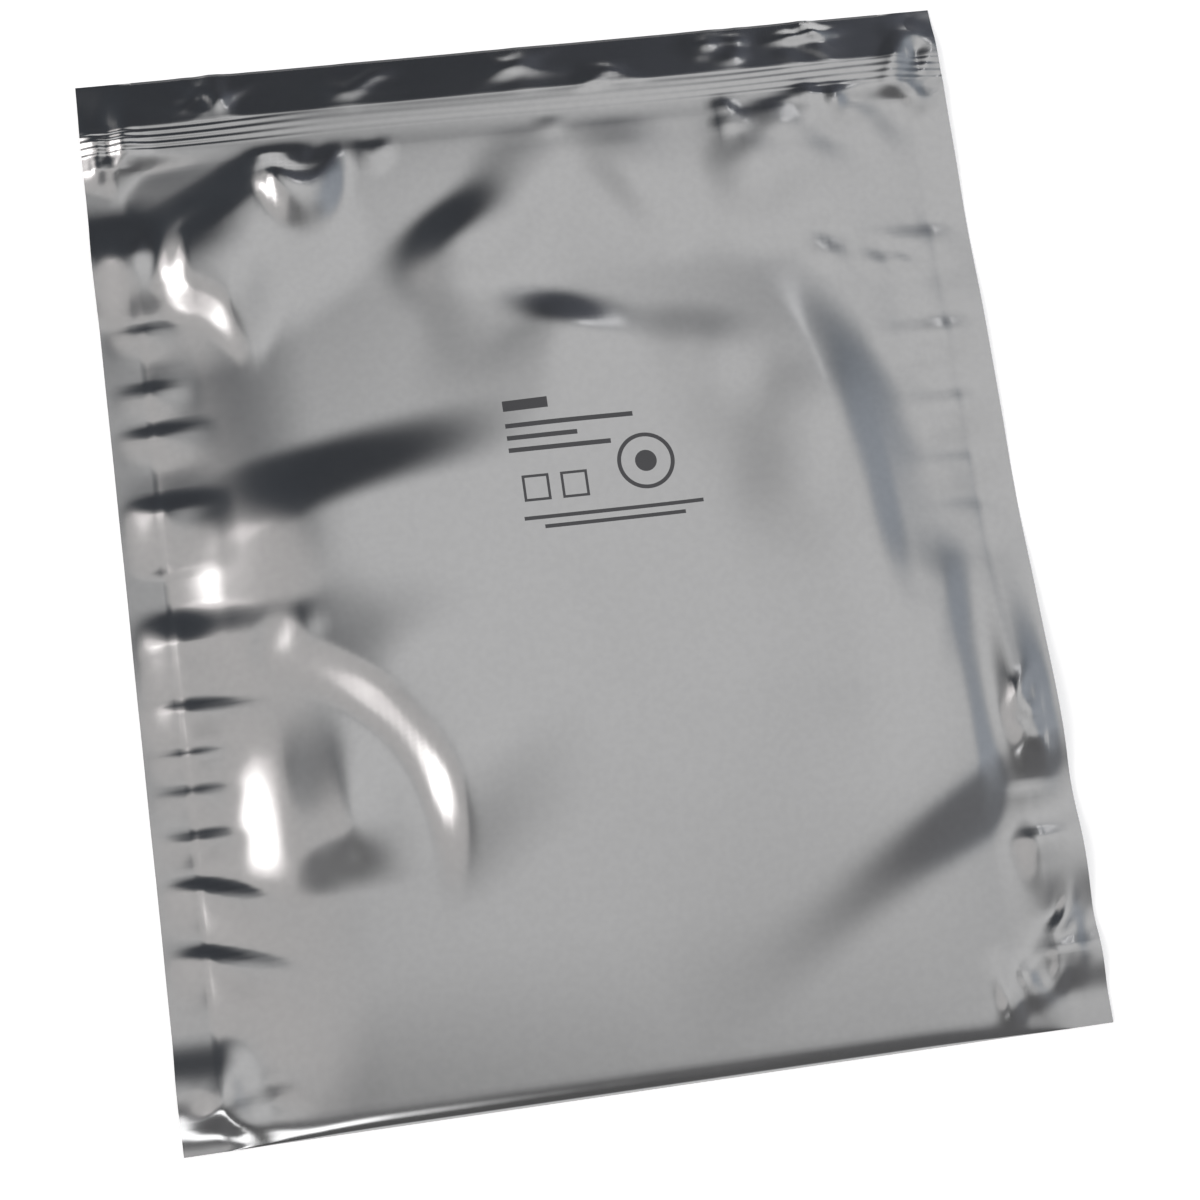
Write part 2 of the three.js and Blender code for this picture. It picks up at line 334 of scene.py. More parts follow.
def folds(outline: Outline) -> tuple[Fold, ...]:
    """Returns the folds of the front panel, measured from its edges and from the zip."""
    right, line = outline.width, outline.zip_line
    return (
        Fold((4, 166), (172, 193), 8, 5.8, 26, 80, 0.42, 0.8, 0.4),
        Fold((98, 245), (176, 222), 2, 3.0, 15, 50, 0.65, 0.5),
        Fold((90, 247), (138, 280), 2, 2.8, 17, 34, 0.5, 0.5),
        Fold((190, 262), (228, 128), 15, 3.5, 24, 60, 0.5, 0.6),
        Fold((219, 222), (227, 112), 4, 1.8, 13, 50, 0.5, 0.5),
        Fold((right + 26, 104), (right - 134, 20), -9, 6.4, 26, 80, 0.2, 0.7, 1.0),
        Fold((right - 18, 160), (right - 42, 104), -3, 1.2, 13, 50, 0.4, 0.5),
        Fold((97, 60), (41, 153), -20, 5.3, 18, 60, 0.35, 0.38),
        Fold((50, 236), (4, 260), -15, 3.4, 14, 30, 0.35, 0.3),
        Fold((46, 66), (42, 130), 2, 2.3, 20, 15, 0.3, 0.7),
        Fold((61, 68), (64, 132), 2, 3.2, 17, 26, 0.33, 0.7),
        Fold((-8, line - 37), (74, line + 1), -11, 3.7, 17, 44, 0.15, 0.2, 0.8),
        Fold((50, line + 1), (84, line + 1), -20, 2.8, 13, 16, 0.3, 0.3),
        Fold((82, line + 1), (98, line + 1), -8, 1.0, 5, 9, 0.3, 0.3),
        Fold((right - 70, line - 2), (right - 20, line - 1), -4, 1.2, 6, 14, 0.25, 0.25),
        Fold((150, line - 1), (112, line - 52), 4, 1.3, 14, 22, 0.5, 0.5),
        Fold((188, line - 52), (151, line - 1), -4, 1.3, 14, 22, 0.5, 0.5),
        Fold((201, line - 3), (216, line - 56), 2, 1.0, 14, 24, 0.4, 0.5),
        Fold((204, line - 3), (244, line - 40), 4, 0.9, 12, 20, 0.4, 0.5),
        Fold((222, 216), (204, 150), 3, 0.7, 14, 30, 0.4, 0.4),
        Fold((158, 226), (206, 214), 3, 0.8, 17, 26, 0.4, 0.4),
    )


def crumples(outline: Outline) -> tuple[Crumple, ...]:
    """Returns the crumpled patches at the ends of the zip, at the bottom corners and on the seals."""
    right, top = outline.width, outline.zip_top
    return (
        Crumple((8, top - 6), (16, 20), 1.2, 5.0, 10, 3),
        Crumple((right - 8, top - 4), (18, 24), 1.3, 5.0, 10, 5),
        Crumple((165, top + 3), (26, 7), 0.5, 3.0, 9, 27),
        Crumple((20, 12), (26, 16), 0.7, 5.0, 8, 8),
        Crumple((right - 24, 14), (22, 16), 0.8, 5.0, 8, 11),
        Crumple((right - 10, 96), (11, 24), 0.6, 3.0, 9, 13),
        Crumple((right - 10, 28), (12, 24), 0.8, 3.5, 9, 14),
        Crumple((40, top + 10), (26, 14), 0.7, 4.0, 9, 21),
        Crumple((88, top + 8), (20, 12), 0.6, 4.0, 8, 22),
        Crumple((140, top + 9), (30, 12), 0.5, 4.5, 8, 23),
        Crumple((205, top + 10), (16, 12), 0.8, 3.5, 8, 24),
        Crumple((234, top + 9), (20, 13), 0.9, 3.5, 9, 25),
        Crumple((236, outline.zip_line - 4), (28, 9), 0.5, 4.0, 9, 31),
        Crumple((206, outline.zip_line - 8), (10, 12), 0.5, 3.5, 7, 32),
    )


def air_pockets(outline: Outline) -> tuple[AirPocket, ...]:
    """Returns the air pockets of the front panel."""
    right, line = outline.width, outline.zip_line
    return (
        AirPocket((50, 100), (34, 42), -14, 1.4),
        AirPocket((right - 64, line - 26), (26, 20), 20, 1.2),
    )


MARGIN_WAVES = (
    MarginWave(Edge.LEFT, 270, 2.4, 22),
    MarginWave(Edge.LEFT, 18, 3.4, 17),
    MarginWave(Edge.RIGHT, 100, 1.2, 76),
    MarginWave(Edge.RIGHT, 54, 3.4, 27),
    MarginWave(Edge.RIGHT, 22, 2.4, 14),
    MarginWave(Edge.RIGHT, 210, 1.0, 36),
)

PUCKERS = (
    Pucker(Edge.LEFT, 248, 0.9, 3.6, 16),
    Pucker(Edge.LEFT, 229, 0.8, 3.4, 16),
    Pucker(Edge.LEFT, 215, 1.2, 4, 22),
    Pucker(Edge.LEFT, 191, 1.5, 5.5, 24),
    Pucker(Edge.LEFT, 175.5, 1.4, -5.5, 24, 0, 6),
    Pucker(Edge.LEFT, 149, 2.1, 13, 62),
    Pucker(Edge.LEFT, 149, 0.6, -2.4, 40, -0.05, 5),
    Pucker(Edge.LEFT, 128, 1.6, 5.5, 34, -0.06),
    Pucker(Edge.LEFT, 115, 1.3, 3.6, 20),
    Pucker(Edge.LEFT, 104, 0.9, 3.2, 18),
    Pucker(Edge.LEFT, 90, 1.1, 3.6, 20),
    Pucker(Edge.LEFT, 75, 1.8, 5.5, 32, -0.28),
    Pucker(Edge.LEFT, 55, 1.7, 5.5, 32, -0.28),
    Pucker(Edge.RIGHT, 252.5, 0.7, 7, 30, 0, 2),
    Pucker(Edge.RIGHT, 220.5, 0.8, 7, 30, 0, 2),
    Pucker(Edge.RIGHT, 196.5, 0.7, 7, 28, 0, 2),
    Pucker(Edge.RIGHT, 176.5, 0.7, 7, 28, 0, 2),
    Pucker(Edge.RIGHT, 161.5, 0.7, 7, 28, 0, 2),
    Pucker(Edge.RIGHT, 72, 0.7, 3, 14),
    Pucker(Edge.RIGHT, 58, 0.7, 3, 14),
    Pucker(Edge.ZIP, 149, 0.7, 3, 9),
)


class Level(Enum):
    """The four levels at which a point of the film can lie, from the table upwards."""

    BACK_OUTSIDE = 0
    BACK_INSIDE = 1
    FRONT_INSIDE = 2
    FRONT_OUTSIDE = 3


@dataclass(frozen=True)
class FilmBag:
    """The folded and side sealed film, with its two lips parted down to the foot of the zip.

    The cells are the mesh's spacings in millimetres. The reaches and shares say how the films leave the
    seals, the bottom fold and the zip. seal_ripples has the height, reach and phase of each ripple.
    """

    outline: Outline
    ribs: ZipRibs = ZipRibs()
    edge_cell: float = 1.15
    panel_cell: float = 2.3
    length_cell: float = 1.6
    lip_cell: float = 1.0
    foot_cell: float = 0.6
    foot_reach: float = 6.0
    fold_cells: int = 8
    gathered_reach: float = 42.0
    cells_per_rib: int = 8
    weld: float = 0.3
    mouth_inset: float = 0.1
    seal_mean: float = 0.4
    seal_ripples: tuple[tuple[float, float, float], ...] = ((0.35, 17.0, 0.6), (0.25, 7.3, 1.1))
    seal_sag: float = 18.0
    edge_drop: float = 0.5
    curl_share: float = 0.45
    top_share: float = 0.5
    top_shoulders: float = 3.0
    bottom_hold: float = 8.0
    zip_reach: float = 14.0
    zip_freedom: float = 0.25
    zip_foot: float = 7.0
    lip_start: float = 1.0
    lip_fade: float = 5.0
    sharp_angle: float = 60.0

    def back_face(self, x: Array, y: Array) -> Array:
        """Returns the height of the back film's lower face: flat in the middle and wavy at the seals."""
        o = self.outline
        up_slope = ease((y - o.zip_line + o.zip_slope) / o.zip_slope)
        lip_share = np.maximum(y - o.zip_top, 0) / o.lip
        rising = up_slope * (o.zip_lift + (o.mouth_lift - o.zip_lift) * lip_share)
        ripples = sum(height * np.sin(y / reach + phase) for height, reach, phase in self.seal_ripples)
        at_zip = ease((y - o.zip_line) / o.zip_width)
        wander = (self.seal_mean + ripples) * (1 - at_zip)
        at_side = 1 - ease(o.inside(x) / self.seal_sag)
        for wave in MARGIN_WAVES:
            wander = wander + wave.lift(o, x, y) * at_side
        seal = np.where(x < o.width / 2, o.side_seal, o.width - o.side_seal)
        held = 1 - self.edge_drop * ease(-o.inside(x) / o.side_seal)
        for fold in folds(o):
            wander = wander + fold.seal_share * fold.lift(seal, y) * at_side * held * self.under_zip(y)
        at_seal = np.maximum(at_side, at_zip)
        return rising + np.maximum(wander, 0) * at_seal + self.crumple(x, y) * self.creased_back(x, y)

    def creased_back(self, x: Array, y: Array) -> Array:
        """Returns how much the back film follows the creases: in the seals and lips, not at the strips."""
        o = self.outline
        above = ease((y - o.zip_line + o.zip_width) / o.zip_width)
        in_band = above * ease((o.zip_top + o.zip_width - y) / o.zip_width)
        seal_reach = self.seal_sag + (o.channel_end - self.seal_sag) * in_band
        in_lips = ease((y - o.zip_top - self.lip_start) / self.lip_fade)
        return np.maximum(1 - ease(o.inside(x) / seal_reach), in_lips)

    def under_zip(self, y: Array) -> Array:
        """Returns how freely the film folds under the zip: 1 in the panel and little at the zip itself."""
        away = ease((self.outline.zip_line - y) / self.zip_reach)
        return self.zip_freedom + (1 - self.zip_freedom) * away

    def crumple(self, x: Array, y: Array) -> Array:
        """Returns the height of the crumpled patches."""
        return sum(patch.lift(x, y) for patch in crumples(self.outline))

    def pouch(self, x: Array, y: Array) -> Array:
        """Returns the thickness of the air between the two films of the pouch."""
        o = self.outline
        inside = o.inside(x)
        across = quarter_sine(inside / o.pillow_shoulder)
        curl = 1 - np.clip(y / o.bottom_fold, 0, 1)
        bottom = self.curl_share * np.sqrt(1 - curl**2)
        bottom = bottom + (1 - self.curl_share) * quarter_sine(y / o.pillow_shoulder)
        slope = quarter_sine((o.zip_line - y) / (self.top_shoulders * o.pillow_shoulder))
        top = self.top_share + (1 - self.top_share) * slope
        loose = ease(inside / self.seal_sag) * ease(y / self.bottom_hold) * self.under_zip(y)
        lift = o.pillow * across * bottom * top
        for part in folds(o) + air_pockets(o) + FACETS:
            lift = lift + part.lift(x, y) * loose
        for pucker in PUCKERS:
            lift = lift + pucker.lift(o, x, y)
        return lift

    def channel(self, x: Array, y: Array) -> Array:
        """Returns the space between the films in the zip band and between the two lips."""
        o = self.outline
        lip_share = np.clip((y - o.zip_top) / o.lip, 0, 1)
        gap = o.channel - 2 * o.film
        open_ends = ease((o.inside(x) + o.channel_end) / (2 * o.channel_end))
        return (gap + (o.mouth_gap - gap) * lip_share) * open_ends

    def front_face(self, x: Array, y: Array) -> Array:
        """Returns the height of the front film's upper face."""
        o = self.outline
        zip_share = ease((y - o.zip_line + self.zip_foot) / self.zip_foot)
        space = self.pouch(x, y) * (1 - zip_share) + self.channel(x, y) * zip_share
        creases = self.crumple(x, y) * (1 - self.creased_back(x, y))
        raised = self.back_face(x, y) + 2 * o.film + np.maximum(space, 0)
        return raised + self.ribs.lift(o, x, y) + creases

    def _spaced(self, low: float, high: float, cell: float) -> list[float]:
        """Returns evenly spaced lines from low up to, and without, high."""
        cells = max(round((high - low) / cell), 1)
        return [low + (high - low) * i / cells for i in range(cells)]

    def columns(self) -> list[float]:
        """Returns the lines of the mesh along the bag, closer together where the seals gather the film."""
        o = self.outline
        slot = o.side_seal + o.channel_end
        reach = self.gathered_reach
        left = self._spaced(0, o.side_seal, self.edge_cell) + self._spaced(o.side_seal, slot, self.edge_cell)
        left += self._spaced(slot, reach, self.edge_cell)
        middle = self._spaced(reach, o.width - reach, self.panel_cell)
        return left + middle + [o.width - x for x in reversed([*left, reach])]

    def rows(self) -> list[float]:
        """Returns the lines of the mesh across the bag, closer together at its fold, zip and lips."""
        o = self.outline
        foot_line = o.zip_line - self.foot_reach
        fold = [o.bottom_fold * (i / self.fold_cells) ** 2 for i in range(self.fold_cells)]
        panel = self._spaced(o.bottom_fold, foot_line, self.length_cell)
        foot = self._spaced(foot_line, o.zip_line, self.foot_cell)
        band = self._spaced(o.zip_line, o.zip_top, self.ribs.pitch / self.cells_per_rib)
        lip = self._spaced(o.zip_top, o.length - o.lip_step, self.lip_cell)
        return fold + panel + foot + band + lip + [o.length - o.lip_step]

    def build(self) -> bpy.types.Object:
        """Builds the film as one closed mesh.

        Returns:
            The film's object, with its place in its mesh.
        """
        columns, rows = np.array(self.columns()), np.array(self.rows())
        bm = self._envelope(columns, rows)
        layers = [bm.verts.layers.int[name] for name in ("column", "row", "level")]
        column, row, level = (np.array([vert[layer] for vert in bm.verts]) for layer in layers)
        column, row = columns[column], rows[row]
        between = (level == Level.BACK_INSIDE.value) | (level == Level.FRONT_INSIDE.value)
        o = self.outline
        slot = o.side_seal + o.channel_end
        column = np.where(between, np.clip(column, slot + self.weld, o.width - slot - self.weld), column)

        mesh = bpy.data.meshes.new("film_bag_skin")
        bm.to_mesh(mesh)
        bm.free()
        place = self._places(column, row, level)
        mesh.vertices.foreach_set("co", place.astype(np.float32).ravel())
        self._unfold(mesh, column, row, level)
        mesh.set_sharp_from_angle(angle=math.radians(self.sharp_angle))
        mesh.update()
        piece = bpy.data.objects.new("film_bag_skin", mesh)
        bpy.context.scene.collection.objects.link(piece)
        return piece

    def _envelope(self, columns: Array, rows: Array) -> bmesh.types.BMesh:
        """Builds the closed envelope with its lips parted.

        Args:
            columns: lines along the bag.
            rows: lines across the bag.

        Returns:
            A mesh whose points know their column, row and level.
        """
        last_column, last_row = len(columns) - 1, len(rows) - 1
        bm = bmesh.new()
        bmesh.ops.create_grid(bm, x_segments=last_column, y_segments=last_row, size=1)
        column_of = bm.verts.layers.int.new("column")
        row_of = bm.verts.layers.int.new("row")
        level_of = bm.verts.layers.int.new("level")
        for vert in bm.verts:
            vert[column_of] = round((vert.co.x + 1) / 2 * last_column)
            vert[row_of] = round((vert.co.y + 1) / 2 * last_row)
        raised = bmesh.ops.extrude_face_region(bm, geom=list(bm.faces))
        for vert in raised["geom"]:
            if isinstance(vert, bmesh.types.BMVert):
                vert[level_of] = Level.FRONT_OUTSIDE.value
        self._part_lips(bm, columns, rows)
        bmesh.ops.recalc_face_normals(bm, faces=list(bm.faces))
        for face in bm.faces:
            face.smooth = True
        return bm

    def _places(self, column: Array, row: Array, level: Array) -> Array:
        """Returns where each point of the film lies, in metres.

        Args:
            column: each point's distance from the left edge in millimetres.
            row: its distance from the bottom fold.
            level: its level in the film.
        """
        o = self.outline
        back_lip = np.clip((row - o.zip_top) / (o.lip - o.lip_step), 0, 1) * o.lip_step
        back = self.back_face(column, row)
        roof = back + o.film + self.channel(column, row) - self.ribs.reach(o, row)
        height = np.where(level == Level.BACK_INSIDE.value, back + o.film, back)
        height = np.where(level == Level.FRONT_INSIDE.value, roof, height)
        height = np.where(level == Level.FRONT_OUTSIDE.value, self.front_face(column, row), height)
        row = np.where(level <= Level.BACK_INSIDE.value, row + back_lip, row)
        return np.stack([column - o.width / 2, row - o.length / 2, height], -1) * MM

    def _unfold(self, mesh: bpy.types.Mesh, column: Array, row: Array, level: Array) -> None:
        """Lays the two panels flat in a UV layer, the back one beside the front one, in bag lengths."""
        o = self.outline
        layer = mesh.uv_layers.new(name="panel")
        corner = np.zeros(len(mesh.loops), np.int32)
        mesh.loops.foreach_get("vertex_index", corner)
        side = np.where(level >= Level.FRONT_INSIDE.value, 0.0, -2.0)
        flat = np.stack([column / o.length + side, row / o.length], -1)[corner]
        layer.uv.foreach_set("vector", flat.astype(np.float32).ravel())

    def _part_lips(self, bm: bmesh.types.BMesh, columns: Array, rows: Array) -> None:
        """Opens the wall at the mouth and pushes the space between the lips in to the foot of the zip.

        Args:
            bm: the closed envelope, whose points know their column, row and level.
            columns: lines along the bag.
            rows: lines across the bag.
        """
        o = self.outline
        column_of = bm.verts.layers.int["column"]
        row_of = bm.verts.layers.int["row"]
        level_of = bm.verts.layers.int["level"]
        slot = o.side_seal + o.channel_end
        first = int(np.argmin(np.abs(columns - slot)))
        final = int(np.argmin(np.abs(columns - (o.width - slot))))
        last_row = len(rows) - 1
        foot_row = int(np.argmin(np.abs(rows - o.zip_line)))
        mouth = [
            face
            for face in bm.faces
            if len({v[level_of] for v in face.verts}) == 2
            and all(v[row_of] == last_row and first <= v[column_of] <= final for v in face.verts)
        ]
        bmesh.ops.inset_region(bm, faces=mouth, thickness=self.mouth_inset, use_boundary=True)
        for vert in {vert for face in mouth for vert in face.verts}:
            low = vert[level_of] == Level.BACK_OUTSIDE.value
            vert[level_of] = Level.BACK_INSIDE.value if low else Level.FRONT_INSIDE.value
        for row in range(last_row - 1, foot_row - 1, -1):
            pushed = bmesh.ops.extrude_face_region(bm, geom=mouth)
            for vert in pushed["geom"]:
                if isinstance(vert, bmesh.types.BMVert):
                    vert[row_of] = row
            mouth = [face for face in pushed["geom"] if isinstance(face, bmesh.types.BMFace)]


@dataclass(frozen=True)
class PrintMark:
    """A plain printed mark on the front panel, in millimetres from its lower left corner.

    A mark with a hole is a ring or a frame: hole is the share of its half sizes that stays bare.
    """

    centre: Point
    half: Point
    round_shape: bool = False
    hole: float = 0.0


@dataclass(frozen=True)
class PrintBlock:
    """A small block of plain bars and simple shapes, in the place and scale of a bag's printed block."""

    marks: tuple[PrintMark, ...] = (
        PrintMark((127, 211), (7, 1.7)),
        PrintMark((140, 204.5), (20, 0.75)),
        PrintMark((131, 200.5), (11, 0.75)),
        PrintMark((136, 196.5), (16, 0.75)),
        PrintMark((162, 189), (9, 9), True, 0.86),
        PrintMark((162, 189), (3.4, 3.4), True),
        PrintMark((127, 184), (4.2, 4.2), False, 0.8),
        PrintMark((139, 184), (4.2, 4.2), False, 0.8),
        PrintMark((150, 174.5), (28, 0.6)),
        PrintMark((150, 171.5), (22, 0.6)),
    )


class Nodes:
    """A small helper that adds nodes to one node tree and links them."""

    def __init__(self, tree: bpy.types.NodeTree) -> None:
        """Keeps the tree."""
        self.tree = tree

    def add(self, kind: str, **settings: object) -> bpy.types.Node:
        """Adds a node of a kind, with its settings, and returns it."""
        node = self.tree.nodes.new(kind)
        for name, value in settings.items():
            setattr(node, name, value)
        return node

    def feed(self, socket: bpy.types.NodeSocket, value: object) -> None:
        """Links an output to a socket, or sets the socket's own value."""
        if isinstance(value, bpy.types.NodeSocket):
            self.tree.links.new(value, socket)
        else:
            socket.default_value = value

    def math(self, operation: str, *values: object, clamp: bool = False) -> bpy.types.NodeSocket:
        """Adds a Math node over the values and returns its result."""
        node = self.add("ShaderNodeMath", operation=operation, use_clamp=clamp)
        for socket, value in zip(node.inputs, values):
            self.feed(socket, value)
        return node.outputs[0]

    def smooth_range(self, value: object, low: float, high: float) -> bpy.types.NodeSocket:
        """Returns a soft step of the value between low and high."""
        node = self.add("ShaderNodeMapRange", interpolation_type="SMOOTHSTEP")
        self.feed(node.inputs["Value"], value)
        node.inputs["From Min"].default_value = low
        node.inputs["From Max"].default_value = high
        return node.outputs["Result"]

    def blend(self, share: object, first: object, second: object) -> bpy.types.NodeSocket:
        """Returns a colour that goes from first to second as the share goes from 0 to 1."""
        node = self.add("ShaderNodeMix", data_type="RGBA")
        self.feed(node.inputs["Factor"], share)
        for socket, value in zip((node.inputs[6], node.inputs[7]), (first, second)):
            self.feed(socket, (*value, 1.0) if isinstance(value, tuple) else value)
        return node.outputs[2]

    def noise(self, where: object, scale: float, detail: float = 2.0) -> bpy.types.NodeSocket:
        """Returns a noise of 0 to 1 at a scale in features per metre."""
        node = self.add("ShaderNodeTexNoise")
        self.feed(node.inputs["Vector"], where)
        node.inputs["Scale"].default_value = scale
        node.inputs["Detail"].default_value = detail
        return node.outputs["Fac"]


def fresh_material(name: str) -> tuple[bpy.types.Material, Nodes, bpy.types.Node]:
    """Makes a node material.

    Args:
        name: the material's name.

    Returns:
        The material, a helper over its tree and its Principled shader.
    """
    material = bpy.data.materials.new(name)
    material.use_nodes = True
    nodes = Nodes(material.node_tree)
    shader = next(n for n in material.node_tree.nodes if n.type == "BSDF_PRINCIPLED")
    return material, nodes, shader


@dataclass(frozen=True)
class MetallisedFilm:
    """Grey semi mirror film with faint mottling, fine crinkles and a small printed block."""

    outline: Outline
    light: Colour = (0.432, 0.432, 0.434)
    dark: Colour = (0.418, 0.418, 0.42)
    ink: Colour = (0.05, 0.05, 0.055)
    roughness_low: float = 0.13
    roughness_high: float = 0.2
    crinkle: float = 0.000006
    mottling_scale: float = 420.0
    smudge_scale: float = 45.0
    crinkle_scale: float = 70.0
    block: PrintBlock = PrintBlock()

    def material(self) -> bpy.types.Material:
        """Builds the film's material and returns it."""
        material, nodes, shader = fresh_material("metallised_film")
        where = nodes.add("ShaderNodeTexCoord").outputs["Object"]
        mottling = nodes.noise(where, self.mottling_scale, 3)
        metal = nodes.blend(nodes.smooth_range(mottling, 0.3, 0.7), self.dark, self.light)
        printed = self._print_mask(nodes)
        nodes.feed(shader.inputs["Base Color"], nodes.blend(printed, metal, self.ink))
        nodes.feed(shader.inputs["Metallic"], nodes.math("SUBTRACT", 1.0, printed))
        smudges = nodes.noise(where, self.smudge_scale, 3)
        rough = nodes.add("ShaderNodeMapRange")
        nodes.feed(rough.inputs["Value"], smudges)
        rough.inputs["To Min"].default_value = self.roughness_low
        rough.inputs["To Max"].default_value = self.roughness_high
        nodes.feed(shader.inputs["Roughness"], rough.outputs["Result"])
        bump = nodes.add("ShaderNodeBump")
        bump.inputs["Distance"].default_value = self.crinkle
        nodes.feed(bump.inputs["Height"], nodes.noise(where, self.crinkle_scale, 4))
        nodes.feed(shader.inputs["Normal"], bump.outputs["Normal"])
        return material

    def _print_mask(self, nodes: Nodes) -> bpy.types.NodeSocket:
        """Returns 1 where a mark is printed and 0 elsewhere."""
        layer = nodes.add("ShaderNodeUVMap", uv_map="panel").outputs["UV"]
        apart = nodes.add("ShaderNodeSeparateXYZ")
        nodes.feed(apart.inputs[0], layer)
        masks = [self._mark(nodes, apart.outputs[0], apart.outputs[1], mark) for mark in self.block.marks]
        total = masks[0]
        for mask in masks[1:]:
            total = nodes.math("MAXIMUM", total, mask)
        return total

    def _mark(self, nodes: Nodes, u: object, v: object, mark: PrintMark) -> bpy.types.NodeSocket:
        """Returns the mask of one mark."""
        size = self.outline.length
        away = []
        for axis, middle, half in zip((u, v), mark.centre, mark.half):
            offset = nodes.math("ABSOLUTE", nodes.math("SUBTRACT", axis, middle / size))
            away.append(nodes.math("DIVIDE", offset, half / size))
        if mark.round_shape:
            squares = [nodes.math("POWER", side, 2.0) for side in away]
            reach = nodes.math("SQRT", nodes.math("ADD", *squares))
        else:
            reach = nodes.math("MAXIMUM", *away)
        inked = nodes.math("LESS_THAN", reach, 1.0)
        if mark.hole == 0:
            return inked
        return nodes.math("MULTIPLY", inked, nodes.math("GREATER_THAN", reach, mark.hole))


@dataclass(frozen=True)
class ZipPlastic:
    """Pale milky plastic of the two zip strips, with faint lines along their extrusion."""

    colour: Colour = (0.62, 0.63, 0.64)
    shade: Colour = (0.55, 0.56, 0.57)
    roughness: float = 0.32
    line_depth: float = 0.00001
    line_scale: tuple[float, float, float] = (4.0, 900.0, 900.0)

    def material(self) -> bpy.types.Material:
        """Builds the strips' material and returns it."""
        material, nodes, shader = fresh_material("zip_plastic")
        where = nodes.add("ShaderNodeTexCoord").outputs["Object"]
        drawn = nodes.add("ShaderNodeMapping")
        nodes.feed(drawn.inputs["Vector"], where)
        drawn.inputs["Scale"].default_value = self.line_scale
        streaks = nodes.noise(drawn.outputs["Vector"], 1.0, 2)
        nodes.feed(shader.inputs["Base Color"], nodes.blend(streaks, self.shade, self.colour))
        shader.inputs["Roughness"].default_value = self.roughness
        bump = nodes.add("ShaderNodeBump")
        bump.inputs["Distance"].default_value = self.line_depth
        nodes.feed(bump.inputs["Height"], streaks)
        nodes.feed(shader.inputs["Normal"], bump.outputs["Normal"])
        return material


@dataclass(frozen=True)
class SoftLamp:
    """A soft patch of light in the studio's sky, by its place, half size and soft edges in degrees."""

    azimuth: float
    zenith: float
    half_azimuth: float
    half_zenith: float
    colour: Colour
    strength: float
    soft_azimuth: float = 5.0
    soft_zenith: float = 4.0


